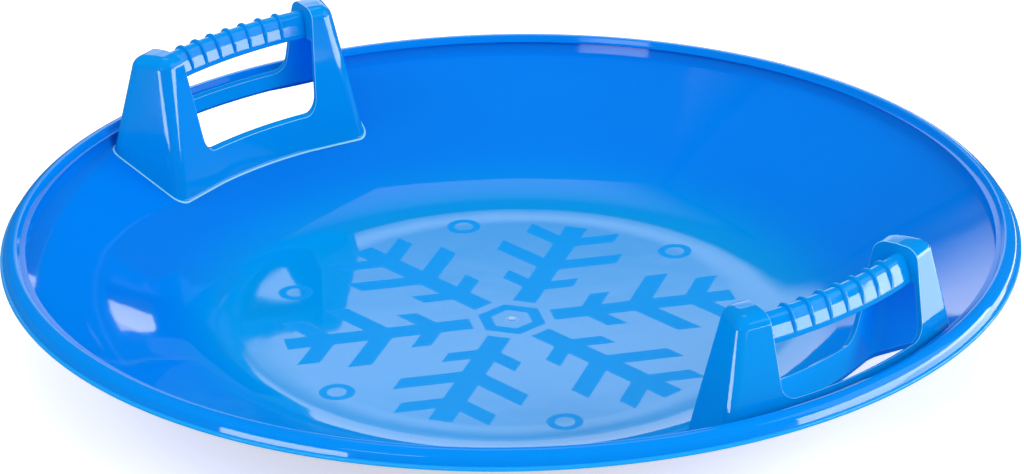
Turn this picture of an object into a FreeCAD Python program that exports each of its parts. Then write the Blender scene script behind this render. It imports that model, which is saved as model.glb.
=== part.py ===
"""Saucer sled: a round dish with a flat seat, a raised rim and two grab handles.

Each handle is a hollow frame bonded to the dish wall round a slot, with a ribbed channel as
its grip between the two posts.  Millimetres; the origin is on the ground under the middle of
the seat, +Z is up and the handles stand on the X axis.
"""
import FreeCAD, Part
import math
import os
import re
import Sketcher

Vector = FreeCAD.Vector
Z_AXIS = Vector(0, 0, 1)

# Driving dimensions: millimetres, and degrees for leans and angles
DIMENSIONS = {
    # Dish
    "rim_radius": 295,          # outermost edge, at the lip
    "lip_width": 1.8,           # lip beyond the rim's outer face
    "lip_thickness": 2.2,
    "rim_draft": 1.9,           # how far the rim's outer face leans in
    "rim_top": 6.3,             # width of the rim's flat top
    "rim_drop": 9.5,            # top of the rim down to the underside of the lip
    "rim_inner_round": 1.2,
    "rim_outer_round": 3.5,
    "step_width": 4.7,          # step from the top of the wall up to the rim
    "step_height": 10,
    "corner_round": 2,          # foot of that step
    "wall_rise": 55.5,          # top of the wall above the seat
    "wall_angle": 27.1,
    "bend_round": 100,          # large round between the seat and the wall
    "dish_wall": 3,
    # Handle frame
    "foot_inset": 1.8,          # outer foot of the frame, in from the top of the wall
    "outer_lean": 9.2,
    "outer_cover": 6.1,         # posts beyond the grip, at the grip's height
    "inner_lean": 10.7,
    "inner_cover": 10.6,        # posts in front of the grip, at the grip's height
    "opening_angle": 12,        # half angle between the posts, at the grip's height
    "opening_lean": 5,
    "post_width": 23.5,         # at the grip
    "end_lean": 11.9,
    "end_fan": 23.7,
    "cap_rise": 4.6,            # post tops above the grip
    "cap_round": 6.5,           # edges of the post tops
    "post_round": 7,            # upright corners of the posts
    "frame_wall": 3,
    "inner_upstand": 18.9,      # inner wall below its opening
    "outer_upstand": 10.7,      # outer wall below its opening
    "sill_round": 9,
    "web_wall": 3,              # plates that close the post tops towards the grip
    "web_margin": 1.5,          # plate below the tenon's hole
    "foot_width": 1.4,          # ledge of the frame that rests on the dish
    "seat_gap": 0.1,            # bond line under the ledge
    # Grip: a channel, round on top and open below, with round tenons at its ends
    "grip_rise": 45.4,          # middle of the tenons above the frame's outer foot
    "grip_width": 14,
    "grip_crown": 9.4,          # top of the grip above that middle
    "grip_drop": 6.2,           # lower edge of the grip below that middle
    "grip_wall": 2.6,
    "grip_end": 4,              # closed ends of the channel
    "grip_gap": 0.15,           # play between the grip's ends and the webs
    "bead_height": 2.6,         # bead along the grip's lower edges
    "bead_reach": 0.5,
    "rib_pitch": 12.3,
    "rib_width": 2,
    "rib_height": 1.6,          # on top; at the sides the ribs run out level with the beads
    "tenon_thickness": 9,
    "tenon_reach": 1.5,         # tenon past the back of the web
    "tenon_gap": 0.15,
}
RIB_COUNT = 7

# Places worked out from the dimensions: each handle stands on the wall, so it follows the rim.
# A foot is where a leaning face would meet the ground, and heights start from the ground.
PLACES = {
    "corner_radius": "rim_radius - lip_width - rim_draft - rim_top - step_width",
    "corner_height": "dish_wall + wall_rise",
    "rim_height": "corner_height + step_height",
    "wall_slope": "tan(wall_angle * 1deg)",
    "wall_secant": "sqrt(1 + wall_slope^2)",
    "seat_bend": "corner_radius - wall_rise / wall_slope",
    "inner_slope": "tan(inner_lean * 1deg)",
    "outer_slope": "tan(outer_lean * 1deg)",
    "end_slope": "tan(end_lean * 1deg)",
    "fan_slope": "tan(end_fan * 1deg)",
    "opening_fan": "tan(opening_angle * 1deg)",
    "opening_slope": "tan(opening_lean * 1deg)",
    "outer_seat_radius": "corner_radius - foot_inset",
    "outer_seat_height": "dish_wall + (outer_seat_radius - seat_bend) * wall_slope",
    "outer_foot": "outer_seat_radius + outer_seat_height * outer_slope",
    "grip_height": "outer_seat_height + grip_rise",
    "grip_radius": "outer_foot - grip_height * outer_slope - outer_cover - grip_width / 2",
    "inner_foot": "grip_radius - grip_width / 2 - inner_cover - grip_height * inner_slope",
    "inner_foot_height": "dish_wall + (inner_foot - seat_bend) * wall_slope",
    "inner_seat_height": "inner_foot_height / (1 - inner_slope * wall_slope)",
    "end_half": "grip_radius * opening_fan + post_width + grip_height * end_slope",
    "frame_top": "grip_height + grip_crown + cap_rise",
    "inner_sill": "inner_seat_height + inner_upstand",
    "outer_sill": "outer_seat_height + outer_upstand",
    "web_bottom": "grip_height - tenon_thickness / 2 - tenon_gap - web_margin",
    "handle_arc": "4 * end_half / inner_foot * 180 / pi",    # twice what a handle takes up
    "handle_near": "inner_foot / 2",                         # well inside a handle
    "handle_far": "rim_radius + rim_drop",                   # well outside it
}
CLOSE = 1e-4    # what counts as the same place

doc = FreeCAD.newDocument("saucer_sled")
sheet = doc.addObject("Spreadsheet::Sheet", "Sizes")
for row, (alias, number) in enumerate(DIMENSIONS.items(), start=1):
    sheet.set(f"A{row}", alias)
    sheet.set(f"B{row}", str(number))
    sheet.setAlias(f"B{row}", alias)
doc.recompute()


def sized(text):
    """The expression with each dimension's and each place's name pointed at its holder."""
    def pointed(word):
        name = word[0]
        if name in DIMENSIONS:
            return f"Sizes.{name}"
        return f"Places.{name}" if name in PLACES else name
    return re.sub(r"[a-z_]+", pointed, text)


def worked(text):
    """The present value of an expression of dimensions and places."""
    return float(sheet.evalExpression(sized(text)))


places = doc.addObject("App::VarSet", "Places")
for place, text in PLACES.items():
    places.addProperty("App::PropertyFloat", place)
    places.setExpression(place, sized(text).replace("Places.", ""))
doc.recompute()


def wall_height(radius, depth="0"):
    """Height of the cone at a radius, a given depth square below the wall's upper face."""
    return f"(dish_wall + (({radius}) - seat_bend) * wall_slope - ({depth}) * wall_secant)"


def draw_polygon(sketch, corners):
    """A closed outline whose corners are placed by expressions."""
    points = [Vector(worked(x), worked(y), 0) for x, y in corners]
    first = sketch.GeometryCount
    count = len(points)
    for i in range(count):
        sketch.addGeometry(Part.LineSegment(points[i], points[(i + 1) % count]), False)
    for i in range(count):
        sketch.addConstraint(Sketcher.Constraint("Coincident", first + i, 2, first + (i + 1) % count, 1))
    for i, corner in enumerate(corners):
        for kind, text, now in zip(("DistanceX", "DistanceY"), corner, points[i]):
            index = sketch.addConstraint(Sketcher.Constraint(kind, -1, 1, first + i, 1, now))
            sketch.setExpression(f"Constraints[{index}]", sized(text))


def draw_arch(sketch, middle, half_width, bottom, spring):
    """An outline with a level bottom, upright sides up to the spring height and a round top."""
    left, right = f"({middle}) - ({half_width})", f"({middle}) + ({half_width})"
    x_left, x_right, y_low, y_high = (worked(text) for text in (left, right, bottom, spring))
    foot = [Vector(x_left, y_low, 0), Vector(x_right, y_low, 0)]
    shoulder = [Vector(x_left, y_high, 0), Vector(x_right, y_high, 0)]
    circle = Part.Circle((shoulder[0] + shoulder[1]) / 2, Z_AXIS, (x_right - x_left) / 2)
    base = sketch.addGeometry(Part.LineSegment(foot[0], foot[1]), False)
    far = sketch.addGeometry(Part.LineSegment(foot[1], shoulder[1]), False)
    crown = sketch.addGeometry(Part.ArcOfCircle(circle, 0, math.pi), False)
    near = sketch.addGeometry(Part.LineSegment(shoulder[0], foot[0]), False)
    outline = (base, far, crown, near)
    for before, after in zip(outline, outline[1:] + outline[:1]):
        sketch.addConstraint(Sketcher.Constraint("Coincident", before, 2, after, 1))
    for side, shoulder_end in ((far, 2), (near, 1)):
        sketch.addConstraint(Sketcher.Constraint("Vertical", side))
        sketch.addConstraint(Sketcher.Constraint("Horizontal", crown, 3, side, shoulder_end))
    for kind, geometry, point, text in (("DistanceX", base, 1, left), ("DistanceX", base, 2, right),
                                        ("DistanceY", base, 1, bottom), ("DistanceY", base, 2, bottom),
                                        ("DistanceY", crown, 3, spring)):
        index = sketch.addConstraint(Sketcher.Constraint(kind, -1, 1, geometry, point, worked(text)))
        sketch.setExpression(f"Constraints[{index}]", sized(text))


def upright_sketch(name, *outlines):
    """A sketch in the XZ plane, x as radius and y as height."""
    sketch = doc.addObject("Sketcher::SketchObject", name)
    sketch.Placement = FreeCAD.Placement(Vector(), FreeCAD.Rotation(Vector(1, 0, 0), 90))
    for corners in outlines:
        draw_polygon(sketch, corners)
    return sketch


def revolved(name, sketch, angle, turn="0"):
    """The sketch turned about Z, to both sides of a plane at a turn from the XZ plane."""
    turned = doc.addObject("Part::Revolution", name)
    turned.Source = sketch
    turned.Axis = Z_AXIS
    turned.Symmetric = True
    turned.Solid = True
    turned.setExpression("Angle", sized(angle))
    turned.Placement = FreeCAD.Placement(Vector(), FreeCAD.Rotation(Z_AXIS, worked(turn)))
    turned.setExpression("Placement.Rotation.Angle", sized(turn))
    return turned


def leaning_prism(name, bottom, corners, lean, height):
    """A plan outline at the bottom height, carried up along a direction that leans to +Y."""
    sketch = doc.addObject("Sketcher::SketchObject", f"{name}_plan")
    sketch.setExpression("Placement.Base.z", sized(bottom))
    draw_polygon(sketch, corners)
    prism = doc.addObject("Part::Extrusion", name)
    prism.Base = sketch
    prism.DirMode = "Custom"
    prism.Dir = Vector(0, worked(lean), 1)
    prism.setExpression("Dir.y", sized(lean))
    prism.setExpression("LengthFwd", sized(f"({height}) * sqrt(1 + ({lean})^2)"))
    prism.Solid = True
    return prism


def mirrored(name, source, normal):
    copy = doc.addObject("Part::Mirroring", name)
    copy.Source = source
    copy.Normal = normal
    return copy


def cut(name, base, *tools):
    tool = tools[0]
    if len(tools) > 1:
        tool = fused(f"{name}_tools", *tools)
    result = doc.addObject("Part::Cut", name)
    result.Base = base
    result.Tool = tool
    return result


def fused(name, *pieces):
    result = doc.addObject("Part::MultiFuse", name)
    result.Shapes = list(pieces)
    result.Refine = True
    return result


def rounded(name, base, radius, wanted):
    """The base with every edge that passes the test rounded."""
    doc.recompute()
    edges = [i for i, edge in enumerate(base.Shape.Edges, start=1) if wanted(edge)]
    if not edges:
        raise RuntimeError(f"{name}: no edge to round")
    result = doc.addObject("Part::Fillet", name)
    result.Base = base
    result.Edges = [(i, worked(radius), worked(radius)) for i in edges]
    return result


def heights(edge):
    return [vertex.Point.z for vertex in edge.Vertexes]


# Dish: one revolved section with its rounds, then the two handle slots
def offset_corner(before, corner, after, distance):
    """The corner of a parallel line that runs on the right hand of two straight runs."""
    first = (corner - before).normalize()
    second = (after - corner).normalize()
    normals = [Vector(run.y, -run.x, 0) for run in (first, second)]
    return corner + (normals[0] + normals[1]) * (distance / (1 + normals[0].dot(normals[1])))


def make_dish_shell():
    body = doc.addObject("PartDesign::Body", "dish_shell")
    sketch = body.newObject("Sketcher::SketchObject", "dish_section")
    plane = [f for f in body.Origin.OriginFeatures if f.Role == "XZ_Plane"][0]
    sketch.AttachmentSupport = [(plane, "")]
    sketch.MapMode = "FlatFace"

    lip_bottom = "rim_height - rim_drop"
    upper = [("0", "dish_wall"), ("seat_bend", "dish_wall"), ("corner_radius", "corner_height"),
             ("corner_radius + step_width", "rim_height"),
             ("corner_radius + step_width + rim_top", "rim_height"),
             ("rim_radius - lip_width", f"{lip_bottom} + lip_thickness")]
    lip = [("rim_radius", f"{lip_bottom} + lip_thickness"), ("rim_radius", lip_bottom)]
    top = [Vector(worked(x), worked(y), 0) for x, y in upper]
    lip_points = [Vector(worked(x), worked(y), 0) for x, y in lip]
    wall = worked("dish_wall")
    under = [offset_corner(top[i - 1], top[i], top[i + 1], wall) for i in range(1, len(top) - 1)]
    last_run = top[-1] - top[-2]
    bottom_share = (lip_points[1].y - under[-1].y) / last_run.y
    under_end = under[-1] + last_run * bottom_share
    outline = top + lip_points + [under_end] + under[::-1] + [Vector(0, 0, 0)]
    for start, end in zip(outline, outline[1:] + outline[:1]):
        sketch.addGeometry(Part.LineSegment(start, end), False)
    lines = len(outline)
    for i in range(lines):
        sketch.addConstraint(Sketcher.Constraint("Coincident", i, 2, (i + 1) % lines, 1))
    for i, corner in enumerate(upper + lip):
        for kind, text, now in zip(("DistanceX", "DistanceY"), corner, outline[i]):
            if text == "0":
                sketch.addConstraint(Sketcher.Constraint("PointOnObject", i, 1, -2))
                continue
            index = sketch.addConstraint(Sketcher.Constraint(kind, -1, 1, i, 1, now))
            sketch.setExpression(f"Constraints[{index}]", sized(text))
    # The underside runs parallel to the upper side, one wall below it
    runs = len(upper) - 1
    for i in range(runs):
        lower = lines - 2 - i
        sketch.addConstraint(Sketcher.Constraint("Parallel", i, lower))
        index = sketch.addConstraint(Sketcher.Constraint("Distance", lower, 2, i, wall))
        sketch.setExpression(f"Constraints[{index}]", sized("dish_wall"))
    sketch.addConstraint(Sketcher.Constraint("Horizontal", len(top) + 1))
    sketch.addConstraint(Sketcher.Constraint("PointOnObject", lines - 1, 1, -2))

    turn = body.newObject("PartDesign::Revolution", "dish_turn")
    turn.Profile = sketch
    turn.ReferenceAxis = (sketch, ["V_Axis"])
    turn.Angle = 360
    doc.recompute()

    def round_ring(base, name, corner, radius):
        """Round the ring edges at this corner of the section."""
        rings = []
        for i, edge in enumerate(base.Shape.Edges, start=1):
            point = edge.Vertexes[0].Point
            away = math.hypot(math.hypot(point.x, point.y) - corner.x, point.z - corner.y)
            if len(edge.Vertexes) == 1 and away < CLOSE:
                rings.append(f"Edge{i}")
        feature = body.newObject("PartDesign::Fillet", name)
        feature.Base = (base, rings)
        feature.setExpression("Radius", sized(radius))
        doc.recompute()
        return feature

    seat_round = round_ring(turn, "seat_round", top[1], "bend_round")
    under_round = round_ring(seat_round, "under_round", under[0], "bend_round + dish_wall")
    corner_round = round_ring(under_round, "corner_round", top[2], "corner_round")
    under_corner = round_ring(corner_round, "under_corner_round", under[1], "corner_round + dish_wall")
    inner_round = round_ring(under_corner, "rim_inner_round", top[3], "rim_inner_round")
    body.Tip = round_ring(inner_round, "rim_outer_round", top[4], "rim_outer_round")
    return body


# Handle frame: a block with leaning walls, made again at several depths inside its faces
BLOCK_LOW = "2 * dish_wall"
UPRIGHT_SHARE = 0.8    # an edge is upright if it climbs this share of the block


def inner_face(inset):
    return f"(inner_foot + ({inset}) * sqrt(1 + inner_slope^2))"


def outer_face(inset):
    return f"(outer_foot - ({inset}) * sqrt(1 + outer_slope^2))"


def make_block(name, inset, cap=None):
    """The frame's outer form with every face moved in by the inset."""
    top = f"frame_top - ({inset})"
    inner, outer = inner_face(inset), outer_face(inset)
    section = upright_sketch(f"{name}_section", [
        (f"{inner} + ({BLOCK_LOW}) * inner_slope", BLOCK_LOW),
        (f"{outer} - ({BLOCK_LOW}) * outer_slope", BLOCK_LOW),
        (f"{outer} - ({top}) * outer_slope", top),
        (f"{inner} + ({top}) * inner_slope", top)])
    ring = revolved(f"{name}_ring", section, "handle_arc")
    half = f"(end_half - ({inset}) * sqrt(1 + fan_slope^2 + end_slope^2))"
    end = leaning_prism(f"{name}_end", "0", [
        ("handle_near", f"{half} + (handle_near - grip_radius) * fan_slope"),
        ("handle_far", f"{half} + (handle_far - grip_radius) * fan_slope"),
        ("handle_far", "3 * end_half"),
        ("handle_near", "3 * end_half")], "-end_slope", "2 * frame_top")
    block = cut(f"{name}_square", ring, end, mirrored(f"{name}_far_end", end, Vector(0, 1, 0)))
    climb = UPRIGHT_SHARE * worked(f"{top} - ({BLOCK_LOW})")
    block = rounded(f"{name}_posts", block, f"max(post_round - ({inset}); post_round / 4)",
                    lambda edge: max(heights(edge)) - min(heights(edge)) > climb)
    if cap:
        level = worked(top) - CLOSE
        block = rounded(f"{name}_cap", block, cap, lambda edge: min(heights(edge)) > level)
    return block


def below_wall(name, depth):
    """All that lies a depth or more below the upper face of the dish wall, near a handle."""
    near, far, floor = "handle_near", "handle_far", "-rim_height"
    section = upright_sketch(f"{name}_section", [
        (near, floor), (far, floor), (far, wall_height(far, depth)), (near, wall_height(near, depth))])
    return revolved(name, section, "2 * handle_arc")


def half_opening(name, near, far, bottom, widen, corner=None):
    """One half of the space between the posts, on the +Y side, from a bottom height up."""
    shift = (f"(({widen}) * sqrt(1 + opening_fan^2 + opening_slope^2)"
             f" + (({bottom}) - grip_height) * opening_slope)")
    past_middle = "-grip_width"
    tool = leaning_prism(name, bottom, [
        (near, past_middle), (far, past_middle),
        (far, f"({far}) * opening_fan + {shift}"), (near, f"({near}) * opening_fan + {shift}")],
        "opening_slope", f"frame_top + rim_drop - ({bottom})")
    if corner:
        level = worked(bottom) + CLOSE
        tool = rounded(f"{name}_round", tool, corner, lambda edge: max(heights(edge)) < level
                       and min(vertex.Point.y for vertex in edge.Vertexes) > 0)
    return tool


def opening(name, *limits):
    """The space between the posts: one half and its mirror image."""
    half = half_opening(name, *limits)
    return half, mirrored(f"{name}_far", half, Vector(0, 1, 0))


NEAR_SIDE = "inner_foot - post_round"
MIDDLE = "grip_radius"
FAR_SIDE = "outer_foot + post_round"


def bent_bar(name, thickness, angle):
    """A round bar along the grip's bend, through the middle of the tenons."""
    bar = doc.addObject("Part::Torus", name)
    bar.Placement = FreeCAD.Placement(Vector(), FreeCAD.Rotation(Z_AXIS, 1))
    bar.setExpression("Radius1", sized("grip_radius"))
    bar.setExpression("Radius2", sized(f"({thickness}) / 2"))
    bar.setExpression("Angle3", sized(angle))
    bar.setExpression("Placement.Base.z", sized("grip_height"))
    bar.setExpression("Placement.Rotation.Angle", sized(f"-({angle}) / 2"))
    return bar


def bent_arch(name, half_width, drop, crown, angle, turn="0"):
    """A bar along the grip's bend with upright sides and a round top."""
    sketch = upright_sketch(f"{name}_section")
    draw_arch(sketch, "grip_radius", half_width, f"grip_height - ({drop})",
              f"grip_height + ({crown}) - ({half_width})")
    return revolved(name, sketch, angle, turn)


def arc_angle(length):
    return f"(({length}) / grip_radius * 180 / pi)"


TENON_ANGLE = f"(2 * opening_angle + 2 * {arc_angle('web_wall + tenon_reach')})"
HOLE_ANGLE = f"({TENON_ANGLE} + 2 * {arc_angle('tenon_gap')})"
CHANNEL_ANGLE = f"(2 * opening_angle - 2 * {arc_angle('grip_end')})"


def make_frame():
    walls = cut("frame_walls", make_block("frame_block", "0", cap="cap_round"),
                below_wall("dish_face", "-seat_gap"))
    hollow = cut("frame_hollow", make_block("hollow_block", "frame_wall", cap="cap_round - frame_wall"),
                 *opening("web", NEAR_SIDE, FAR_SIDE, "web_bottom", "web_wall"))
    return cut("right_frame", walls, hollow,
               *opening("inner_window", NEAR_SIDE, MIDDLE, "inner_sill", "0", "sill_round"),
               *opening("outer_window", MIDDLE, FAR_SIDE, "outer_sill", "0", "sill_round"),
               bent_bar("tenon_hole", "tenon_thickness + 2 * tenon_gap", HOLE_ANGLE))


def make_grip():
    half = "grip_width / 2"
    bead_half = f"{half} + bead_reach"
    ribs = []
    for i in range(RIB_COUNT):
        turn = f"{i - (RIB_COUNT - 1) / 2} * {arc_angle('rib_pitch')}"
        ribs.append(bent_arch(f"rib_{i + 1}", bead_half, "grip_drop", "grip_crown + rib_height",
                              arc_angle("rib_width"), turn))
    bar = bent_arch("grip_bar", half, "grip_drop", "grip_crown", TENON_ANGLE)
    bead_section = upright_sketch("bead_section", [
        (f"grip_radius - ({bead_half})", "grip_height - grip_drop"),
        (f"grip_radius + ({bead_half})", "grip_height - grip_drop"),
        (f"grip_radius + ({bead_half})", "grip_height - grip_drop + bead_height"),
        (f"grip_radius - ({bead_half})", "grip_height - grip_drop + bead_height")])
    beaded = fused("beaded_bar", bar, revolved("beads", bead_section, TENON_ANGLE))
    below = "grip_height - 2 * grip_drop"
    room = fused("grip_room", *opening("grip_space", NEAR_SIDE, FAR_SIDE, below, "-grip_gap"))
    trimmed = doc.addObject("Part::Common", "grip_between_posts")
    trimmed.Base = beaded
    trimmed.Tool = room
    solid = fused("grip_solid", trimmed, bent_bar("tenons", "tenon_thickness", TENON_ANGLE), *ribs)
    channel = bent_arch("grip_channel", f"{half} - grip_wall", "2 * grip_drop",
                        "grip_crown - grip_wall", CHANNEL_ANGLE)
    return cut("right_grip_bar", solid, channel)


def make_dish():
    slot = make_block("slot", "foot_width")
    return cut("dish_with_slots", make_dish_shell(), slot, mirrored("left_slot", slot, Vector(1, 0, 0)))


right_frame = make_frame()
right_grip = make_grip()
nodes = {
    "dish": make_dish(),
    "right_handle_frame": right_frame,
    "left_handle_frame": mirrored("left_frame", right_frame, Vector(1, 0, 0)),
    "right_grip": right_grip,
    "left_grip": mirrored("left_grip_bar", right_grip, Vector(1, 0, 0)),
}
doc.recompute()

# Every object has to be sound before anything is written
for thing in doc.Objects:
    if "Invalid" in thing.State or "Error" in thing.State:
        raise RuntimeError(f"{thing.Name} failed: {thing.State}")
for label, thing in nodes.items():
    thing.Label = label
    if thing.Shape.isNull() or not thing.Shape.isValid() or len(thing.Shape.Solids) != 1:
        raise RuntimeError(f"{label} is not one sound solid")

os.makedirs("parts", exist_ok=True)
for label, thing in nodes.items():
    thing.Shape.exportStep(f"parts/{label}.step")
    box = thing.Shape.BoundBox
    print(f"{label}: {thing.Shape.Volume / 1000:.1f} cm3, x {box.XMin:.1f} {box.XMax:.1f}, "
          f"y {box.YMin:.1f} {box.YMax:.1f}, z {box.ZMin:.1f} {box.ZMax:.1f}")
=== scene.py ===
"""Saucer sled: the looks of a moulded blue disc sled with two grab handles.

The file is laid out as an add-on.  Lengths are metres in the frame's own axes: the origin is on
the ground under the middle of the seat, +Z is up and the handles stand on the X axis.
"""

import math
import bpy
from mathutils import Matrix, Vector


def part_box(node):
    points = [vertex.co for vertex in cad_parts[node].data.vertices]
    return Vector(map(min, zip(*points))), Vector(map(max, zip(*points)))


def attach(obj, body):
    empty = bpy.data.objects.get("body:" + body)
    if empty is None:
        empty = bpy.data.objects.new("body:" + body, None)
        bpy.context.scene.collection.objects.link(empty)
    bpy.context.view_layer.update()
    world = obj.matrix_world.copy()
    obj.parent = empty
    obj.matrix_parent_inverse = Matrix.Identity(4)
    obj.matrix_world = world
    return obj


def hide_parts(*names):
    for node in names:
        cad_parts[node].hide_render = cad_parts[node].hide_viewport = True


bl_info = {
    "name": "Saucer Sled",
    "version": (1, 0, 0),
    "blender": (4, 5, 0),
    "location": "View3D > Sidebar > Sled",
    "description": "Moulded disc sled with a raised rim and two ribbed grab handles",
    "category": "Object",
}

import bmesh
import bpy
from bmesh.types import BMEdge, BMVert
from bpy.props import FloatProperty, FloatVectorProperty, IntProperty, PointerProperty
from mathutils import Matrix, Vector

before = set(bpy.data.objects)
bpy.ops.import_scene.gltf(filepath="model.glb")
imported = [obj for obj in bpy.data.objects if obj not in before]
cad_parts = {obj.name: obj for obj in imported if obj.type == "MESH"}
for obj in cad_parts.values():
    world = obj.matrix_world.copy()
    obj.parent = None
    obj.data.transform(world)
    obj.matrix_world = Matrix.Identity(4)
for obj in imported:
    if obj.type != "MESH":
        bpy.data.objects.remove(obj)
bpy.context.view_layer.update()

MM = 0.001
BODY = "root"
DISH_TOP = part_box("dish")[1]
FRAME_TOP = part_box("right_handle_frame")[1]
GRIP_LOW, GRIP_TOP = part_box("right_grip")
GRIP_DROP = 6.2 * MM     # a grip's lower edge below the middle of its tenons
BARE_GRIP = 15.6 * MM    # what the ribs leave of a grip's height
BAR_ROOM = 14 * MM       # a grip's width where the posts' cover starts
SENSOR = 36              # width of the camera's picture, in millimetres


# Sizes and colours that a user would change
def length(name, description, default):
    return FloatProperty(name=name, description=description, default=default, unit="LENGTH", precision=5)


def turn(name, description, degrees):
    return FloatProperty(name=name, description=description, default=math.radians(degrees),
                         subtype="ANGLE", precision=3)


def tint(name, description, colour):
    return FloatVectorProperty(name=name, description=description, default=(*colour, 1), size=4,
                               min=0, max=1, subtype="COLOR")


def amount(name, description, default):
    return FloatProperty(name=name, description=description, default=default, min=0, max=1)


class DishSizes(bpy.types.PropertyGroup):
    """The section of the dish, from the seat out to the lip."""
    rim_radius: length("Rim radius", "Outermost edge, at the lip", DISH_TOP.x)
    rim_height: length("Rim height", "Top of the rim above the ground", DISH_TOP.z)
    lip_width: length("Lip width", "Lip beyond the rim's outer face", 1.8 * MM)
    lip_thickness: length("Lip thickness", "Thickness of the lip", 2.2 * MM)
    lip_round: length("Lip round", "Edges of the lip", 0.7 * MM)
    rim_draft: length("Rim draft", "How far the rim's outer face leans in", 1.9 * MM)
    rim_top: length("Rim top", "Width of the rim's top", 6.3 * MM)
    rim_drop: length("Rim drop", "Top of the rim down to the underside of the lip", 9.5 * MM)
    rim_inner_round: length("Inner rim round", "Inner edge of the rim's top", 1.2 * MM)
    rim_outer_round: length("Outer rim round", "Outer edge of the rim's top", 6.2 * MM)
    step_width: length("Step width", "Step from the wall up to the rim", 4.7 * MM)
    step_height: length("Step height", "Step from the wall up to the rim", 10 * MM)
    corner_round: length("Corner round", "Foot of the step", 2 * MM)
    wall_angle: turn("Wall angle", "Slope of the wall", 27.1)
    ease_reach: length("Ease reach", "How far before the bend the seat starts to rise", 27 * MM)
    ease_turn: turn("Ease turn", "How steeply it rises there", 3)
    ease_round: length("Ease round", "Soft start of the bend", 400 * MM)
    bend_round: length("Bend round", "Round between the seat and the wall", 90 * MM)
    wall: length("Wall", "Thickness of the dish", 3 * MM)
    gate_radius: length("Gate mark radius", "Moulding mark in the middle of the seat", 2.6 * MM)
    gate_height: length("Gate mark height", "Moulding mark in the middle of the seat", 0.5 * MM)


class HandleSizes(bpy.types.PropertyGroup):
    """A handle frame: hollow posts with low walls between them."""
    foot_inset: length("Foot inset", "Outer foot, in from the top of the dish wall", 1.8 * MM)
    outer_lean: turn("Outer lean", "Outer wall, off upright", 9.2)
    outer_cover: length("Outer cover", "Posts beyond the grip", 6.1 * MM)
    inner_lean: turn("Inner lean", "Inner wall, off upright", 10.7)
    inner_cover: length("Inner cover", "Posts in front of the grip", 10.6 * MM)
    opening_angle: turn("Opening angle", "Half angle between the posts", 12)
    opening_lean: turn("Opening lean", "Post sides towards the opening, off upright", 5)
    post_width: length("Post width", "At the grip", 23.5 * MM)
    end_lean: turn("End lean", "Outer ends of the posts, off upright", 11.9)
    end_fan: turn("End fan", "Outer ends of the posts, off the handle's middle plane", 23.7)
    cap_round: length("Cap round", "Edges of the post tops", 6.5 * MM)
    post_round: length("Post round", "Upright corners of the posts", 7 * MM)
    wall: length("Wall", "Thickness of the frame", 3 * MM)
    inner_upstand: length("Inner upstand", "Inner wall below its opening", 18.9 * MM)
    outer_upstand: length("Outer upstand", "Outer wall below its opening", 10.7 * MM)
    sill_round: length("Sill round", "Lower corners of the openings", 9 * MM)
    web: length("Web", "Plates that close the post tops towards the grip", 3 * MM)
    web_bottom: length("Web bottom", "Lower edge of the webs, below the tenons' middle", 6.15 * MM)
    foot_fillet: length("Foot fillet", "Small flare where the frame meets the dish", 1.1 * MM)
    foot_gap: length("Foot gap", "Bond line under the foot", 0.1 * MM)
    foot_width: length("Foot width", "Ledge of the frame on the dish", 1.4 * MM)
    edge_round: length("Edge round", "Thin edges of the openings", 0.9 * MM)
    lintel_round: length("Cap edge round", "Post tops, on the side of the opening", 1.5 * MM)
    cap_crown: length("Cap crown", "How far the post tops fall from their middle", 1 * MM)


class GripSizes(bpy.types.PropertyGroup):
    """A ribbed grip, bent about the middle of the dish: a channel with flared sides."""
    width: length("Grip width", "At the lower edge, without the beads", 16 * MM)
    flare: turn("Flare", "Sides of the grip, off upright", 17)
    bead_reach: length("Bead reach", "Beads beyond the sides", 0.3 * MM)
    bead_height: length("Bead height", "Beads along the lower edges", 3.2 * MM)
    shoulder: length("Shoulder", "End of the straight sides, above the tenons' middle", 3.2 * MM)
    crown: length("Crown", "Top of the grip above its tenons' middle", 9.2 * MM)
    drop: length("Drop", "Lower edge of the grip below its tenons' middle", GRIP_DROP)
    middle: length("Tenon middle", "Above the ground", GRIP_LOW.z + GRIP_DROP)
    wall: length("Wall", "Thickness of the channel", 2.6 * MM)
    closed_end: length("Closed end", "Thickness of the channel's ends", 4 * MM)
    end_gap: length("End gap", "Play between the grip and the webs", 0.15 * MM)
    rib_flare: turn("Rib flare", "Sides of the ribs, off upright", 2.5)
    rib_height: length("Rib height", "Ribs above the crown", GRIP_TOP.z - GRIP_LOW.z - BARE_GRIP)
    rib_width: length("Rib width", "At the foot of a rib", 2.6 * MM)
    rib_pitch: length("Rib pitch", "From rib to rib", 12.3 * MM)
    rib_count: IntProperty(name="Rib count", description="Ribs on each grip", default=7, min=1)
    tenon_thickness: length("Tenon thickness", "Round tenons in the webs", 9 * MM)
    tenon_reach: length("Tenon reach", "Tenon past the back of the web", 1.5 * MM)
    tenon_gap: length("Tenon gap", "Play round the tenons", 0.15 * MM)


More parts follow.
